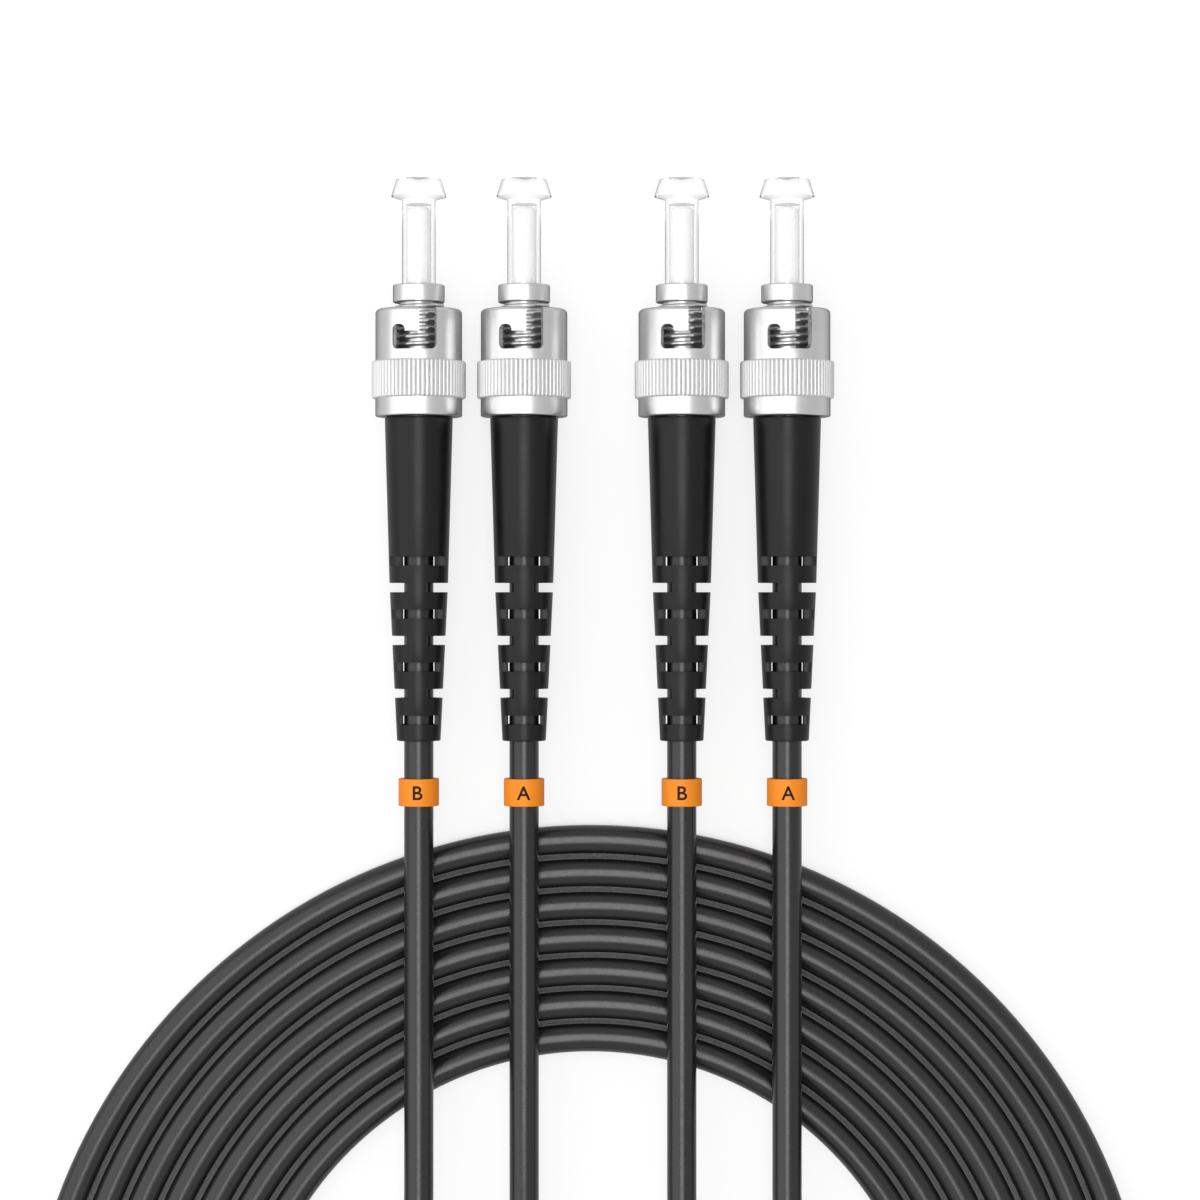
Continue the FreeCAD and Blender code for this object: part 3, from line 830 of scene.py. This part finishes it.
class PATCHCORD_OT_markers(bpy.types.Operator):
    """Turn the orange marker sleeves and print their letters"""

    bl_idname = "patchcord.markers"
    bl_label = "Marker sleeves"

    def execute(self, context):
        sizes = context.scene.patchcord_cords
        sleeve = turn_outline("marker_sleeve", [
            (MARKER_REAR, MARKER_BORE, 0.06), (MARKER_FRONT, MARKER_BORE, 0.06),
            (MARKER_FRONT, MARKER_RADIUS, 0.1), (MARKER_REAR, MARKER_RADIUS, 0.1),
        ], 96)
        smooth(sleeve)
        letters = {letter: self.letter(letter, sleeve, sizes.letter_height * 1000) for letter in "ab"}
        fit_to_connectors(sleeve, "marker_sleeve", marker_finish(sizes.marker))
        ink = ink_finish(sizes.ink)
        for name in CONNECTORS:
            only(letters[name[-1]])
            bpy.ops.object.duplicate(linked=False)
            piece = bpy.context.object
            piece.name = f"{name}_marker_letter"
            piece.data.name = piece.name
            piece.location = connector_axis(name)
            piece.scale = (MILLIMETRE, MILLIMETRE, MILLIMETRE)
            bpy.ops.object.transform_apply(location=True, rotation=True, scale=True)
            piece.data.materials.append(ink)
            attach(piece, "cords")
        for letter in letters.values():
            bpy.data.objects.remove(letter)
        return {"FINISHED"}

    def letter(self, letter, sleeve, height):
        """A capital letter laid on the sleeve's top, in millimetres."""
        bpy.ops.object.select_all(action="DESELECT")
        bpy.ops.object.text_add()
        words = bpy.context.object
        words.data.body = letter.upper()
        words.data.align_x = "CENTER"
        words.data.resolution_u = 6
        words.data.offset = LETTER_WEIGHT
        bpy.ops.object.convert(target="MESH")
        piece = bpy.context.object
        tops = [point.co.y for point in piece.data.vertices]
        sides = [point.co.x for point in piece.data.vertices]
        scale = height / (max(tops) - min(tops))
        piece.scale = (scale, scale, scale)
        middle = (max(sides) + min(sides)) / 2 * scale
        half_way = scale * (max(tops) + min(tops)) / 2
        piece.location = (-middle, MARKER_MIDDLE - half_way, LETTER_START)
        bpy.ops.object.transform_apply(location=True, rotation=True, scale=True)
        bpy.ops.object.mode_set(mode="EDIT")
        bpy.ops.mesh.select_all(action="SELECT")
        bpy.ops.mesh.remove_doubles(threshold=0.0005)
        bpy.ops.mesh.quads_convert_to_tris()
        bpy.ops.mesh.subdivide(number_cuts=3)
        bpy.ops.object.mode_set(mode="OBJECT")
        wrap = piece.modifiers.new("wrap", "SHRINKWRAP")
        wrap.target = sleeve
        wrap.wrap_method = "PROJECT"
        wrap.use_project_z = True
        wrap.use_negative_direction = True
        wrap.use_positive_direction = False
        wrap.offset = LETTER_LIFT
        bpy.ops.object.modifier_apply(modifier=wrap.name)
        skin = piece.modifiers.new("skin", "SOLIDIFY")
        skin.thickness = LETTER_THICKNESS
        skin.offset = -1
        bpy.ops.object.modifier_apply(modifier=skin.name)
        return piece


class PATCHCORD_OT_cords(bpy.types.Operator):
    """Lay the two cords from their connectors round the coil"""

    bl_idname = "patchcord.cords"
    bl_label = "Cords"

    def execute(self, context):
        sizes = context.scene.patchcord_cords
        finish = jacket_finish(sizes.jacket)
        for title, (near, far, length, coils) in CORDS.items():
            points = leg_points(near)
            points += coil_points(coil_angle(near), coil_angle(far), sizes)
            points += reversed(leg_points(far))
            line = bpy.data.curves.new(title, "CURVE")
            line.dimensions = "3D"
            spline = line.splines.new("NURBS")
            spline.points.add(len(points) - 1)
            for control, point in zip(spline.points, points):
                control.co = (*point, 1)
            spline.order_u = 3
            spline.use_endpoint_u = True
            line.resolution_u = 12
            line.bevel_depth = sizes.diameter / 2
            line.bevel_resolution = 6
            line.use_fill_caps = True
            line.materials.append(finish)
            cord = bpy.data.objects.new(title, line)
            context.collection.objects.link(cord)
            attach(cord, "cords")
            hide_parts(f"{near}_cord", f"{far}_cord", *coils)
        return {"FINISHED"}


class PATCHCORD_OT_stage(bpy.types.Operator):
    """Set up the pale bench, the lamps and the camera"""

    bl_idname = "patchcord.stage"
    bl_label = "Bench, lamps and camera"

    def execute(self, context):
        stage = context.scene.patchcord_stage
        bpy.ops.object.select_all(action="DESELECT")
        bpy.ops.mesh.primitive_plane_add(size=BENCH_SIZE, location=(0, 0, BENCH_DROP))
        bench = context.object
        bench.name = "bench"
        bench.data.materials.append(self.bench_finish(stage.bench))
        self.lamp("overhead_lamp", OVERHEAD_PLACE, 0, OVERHEAD_SIZE, stage.overhead_power)
        self.lamp("left_lamp", LEFT_PLACE, LEFT_TILT, LEFT_SIZE, stage.left_power)
        context.scene.world = self.room(stage.room_light)
        view = bpy.data.cameras.new("above")
        view.lens = stage.lens
        view.sensor_width = SENSOR_WIDTH
        view.clip_start = NEAREST_SEEN
        camera = bpy.data.objects.new("above", view)
        camera.location = stage.camera_place
        context.collection.objects.link(camera)
        context.scene.camera = camera
        context.scene.view_settings.view_transform = "Standard"
        return {"FINISHED"}

    def lamp(self, name, place, tilt, size, power):
        """A rectangular lamp, tilted about the Y axis from straight down."""
        bpy.ops.object.light_add(type="AREA", location=place, rotation=(0, math.radians(tilt), 0))
        lamp = bpy.context.object
        lamp.name = name
        lamp.data.shape = "RECTANGLE"
        lamp.data.size, lamp.data.size_y = size
        lamp.data.energy = power

    def room(self, strength):
        """Even light all round, and plain white where the camera looks past the bench."""
        world = bpy.data.worlds.new("room")
        world.use_nodes = True
        nodes = world.node_tree.nodes
        links = world.node_tree.links
        light = nodes["Background"]
        light.inputs["Color"].default_value = (1, 1, 1, 1)
        rays = nodes.new("ShaderNodeLightPath").outputs
        seen = worked_out(nodes, links, "MAXIMUM", rays["Is Camera Ray"], rays["Is Transmission Ray"])
        shown = nodes.new("ShaderNodeMapRange")
        shown.inputs["To Min"].default_value = strength
        links.new(seen, shown.inputs["Value"])
        links.new(shown.outputs["Result"], light.inputs["Strength"])
        return world

    def bench_finish(self, colour):
        """A pale bench that is white to the camera, apart from painted shade in narrow gaps, and soft
        shadows.
        """
        finish, nodes, links, shader = start_finish("pale_bench")[:4]
        shader.inputs["Base Color"].default_value = (*colour, 1)
        shader.inputs["Roughness"].default_value = 0.9
        shader.inputs["Specular IOR Level"].default_value = 0.0
        rays = nodes.new("ShaderNodeLightPath").outputs
        # The bench's own occlusion cuts its glow in narrow gaps: painted shade between the coil's turns.
        shade = nodes.new("ShaderNodeAmbientOcclusion")
        shade.samples = 12
        shade.inputs["Distance"].default_value = GAP_SHADE_REACH
        clear_of_painted_gap_shade = nodes.new("ShaderNodeMapRange")
        clear_of_painted_gap_shade.inputs["From Min"].default_value = GAP_SHADE_FULL
        clear_of_painted_gap_shade.inputs["From Max"].default_value = GAP_SHADE_NONE
        links.new(shade.outputs["AO"], clear_of_painted_gap_shade.inputs["Value"])
        seen = worked_out(nodes, links, "MAXIMUM", rays["Is Camera Ray"], rays["Is Transmission Ray"])
        plain = worked_out(nodes, links, "MULTIPLY", seen, clear_of_painted_gap_shade.outputs["Result"])
        mirrored = worked_out(nodes, links, "MULTIPLY", rays["Is Glossy Ray"], BENCH_MIRRORED)
        glow = worked_out(nodes, links, "MAXIMUM", plain, mirrored)
        shader.inputs["Emission Color"].default_value = BENCH_GLOW
        links.new(glow, shader.inputs["Emission Strength"])
        return finish


class PATCHCORD_PT_panel(bpy.types.Panel):
    """Lists the patch cord's pieces and settings"""

    bl_idname = "PATCHCORD_PT_panel"
    bl_label = "Patch cord"
    bl_space_type = "VIEW_3D"
    bl_region_type = "UI"
    bl_category = "Patch cord"

    def draw(self, context):
        for operator in STEPS:
            self.layout.operator(operator.bl_idname)
        for title in SETTINGS:
            group = getattr(context.scene, title)
            box = self.layout.box()
            for name in group.__annotations__:
                box.prop(group, name)


SETTINGS = {
    "patchcord_cords": CordSettings,
    "patchcord_connectors": ConnectorSettings,
    "patchcord_stage": StageSettings,
}
STEPS = (PATCHCORD_OT_connectors, PATCHCORD_OT_nuts, PATCHCORD_OT_springs, PATCHCORD_OT_boots,
         PATCHCORD_OT_markers, PATCHCORD_OT_cords, PATCHCORD_OT_stage)


def register():
    for name, group in SETTINGS.items():
        bpy.utils.register_class(group)
        setattr(bpy.types.Scene, name, bpy.props.PointerProperty(type=group))
    for step in STEPS:
        bpy.utils.register_class(step)
    bpy.utils.register_class(PATCHCORD_PT_panel)


def unregister():
    bpy.utils.unregister_class(PATCHCORD_PT_panel)
    for step in reversed(STEPS):
        bpy.utils.unregister_class(step)
    for name, group in SETTINGS.items():
        delattr(bpy.types.Scene, name)
        bpy.utils.unregister_class(group)


def main():
    register()
    bpy.ops.patchcord.connectors()
    bpy.ops.patchcord.nuts()
    bpy.ops.patchcord.springs()
    bpy.ops.patchcord.boots()
    bpy.ops.patchcord.markers()
    bpy.ops.patchcord.cords()
    bpy.ops.patchcord.stage()


if __name__ == "__main__":
    main()
